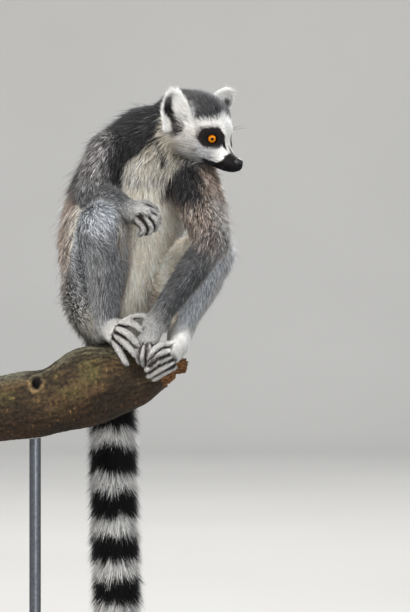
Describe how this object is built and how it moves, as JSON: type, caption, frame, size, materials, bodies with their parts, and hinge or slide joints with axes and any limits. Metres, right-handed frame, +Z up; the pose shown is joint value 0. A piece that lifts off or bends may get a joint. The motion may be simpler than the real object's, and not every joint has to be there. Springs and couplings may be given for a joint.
{
  "type": "ring-tailed lemur display model on a perch",
  "caption": "Life-size still model of a ring-tailed lemur squatting on a cut length of branch, its ringed tail hanging behind, held by a rod on a flat wooden base.",
  "frame": {"origin": "centre of the underside of the stand's base", "axes": "+Z up, the animal's front and the display side towards -Y, the open end of the branch towards +X"},
  "size_m": [0.41, 0.32, 0.8357],
  "materials": {
    "coat": "soft grey fur",
    "tail_coat": "long fur in black and white rings",
    "ear_coat": "short white fur",
    "hand_coat": "short pale fur",
    "eye": "clear, orange iris",
    "nose_skin": "moist black",
    "bark": "rough bark",
    "base_wood": "satin",
    "rod_steel": "brushed"
  },
  "bodies": {
    "root": {"ear_left": "ear_coat", "ear_right": "ear_coat", "eye_left": "eye", "eye_right": "eye", "foot_left": "hand_coat", "foot_right": "hand_coat", "forearm_left": "coat", "forearm_right": "coat", "hand_left": "hand_coat", "hand_right": "hand_coat", "head": "coat", "neck": "coat", "nose": "nose_skin", "perch_branch": "bark", "shin_left": "coat", "shin_right": "coat", "stand_base": "base_wood", "stand_collar": "rod_steel", "stand_rod": "rod_steel", "tail_1": "tail_coat", "tail_2": "tail_coat", "tail_3": "tail_coat", "tail_4": "tail_coat", "tail_5": "tail_coat", "tail_6": "tail_coat", "thigh_left": "coat", "thigh_right": "coat", "trunk": "coat", "upper_arm_left": "coat", "upper_arm_right": "coat"}
  },
  "joints": []
}
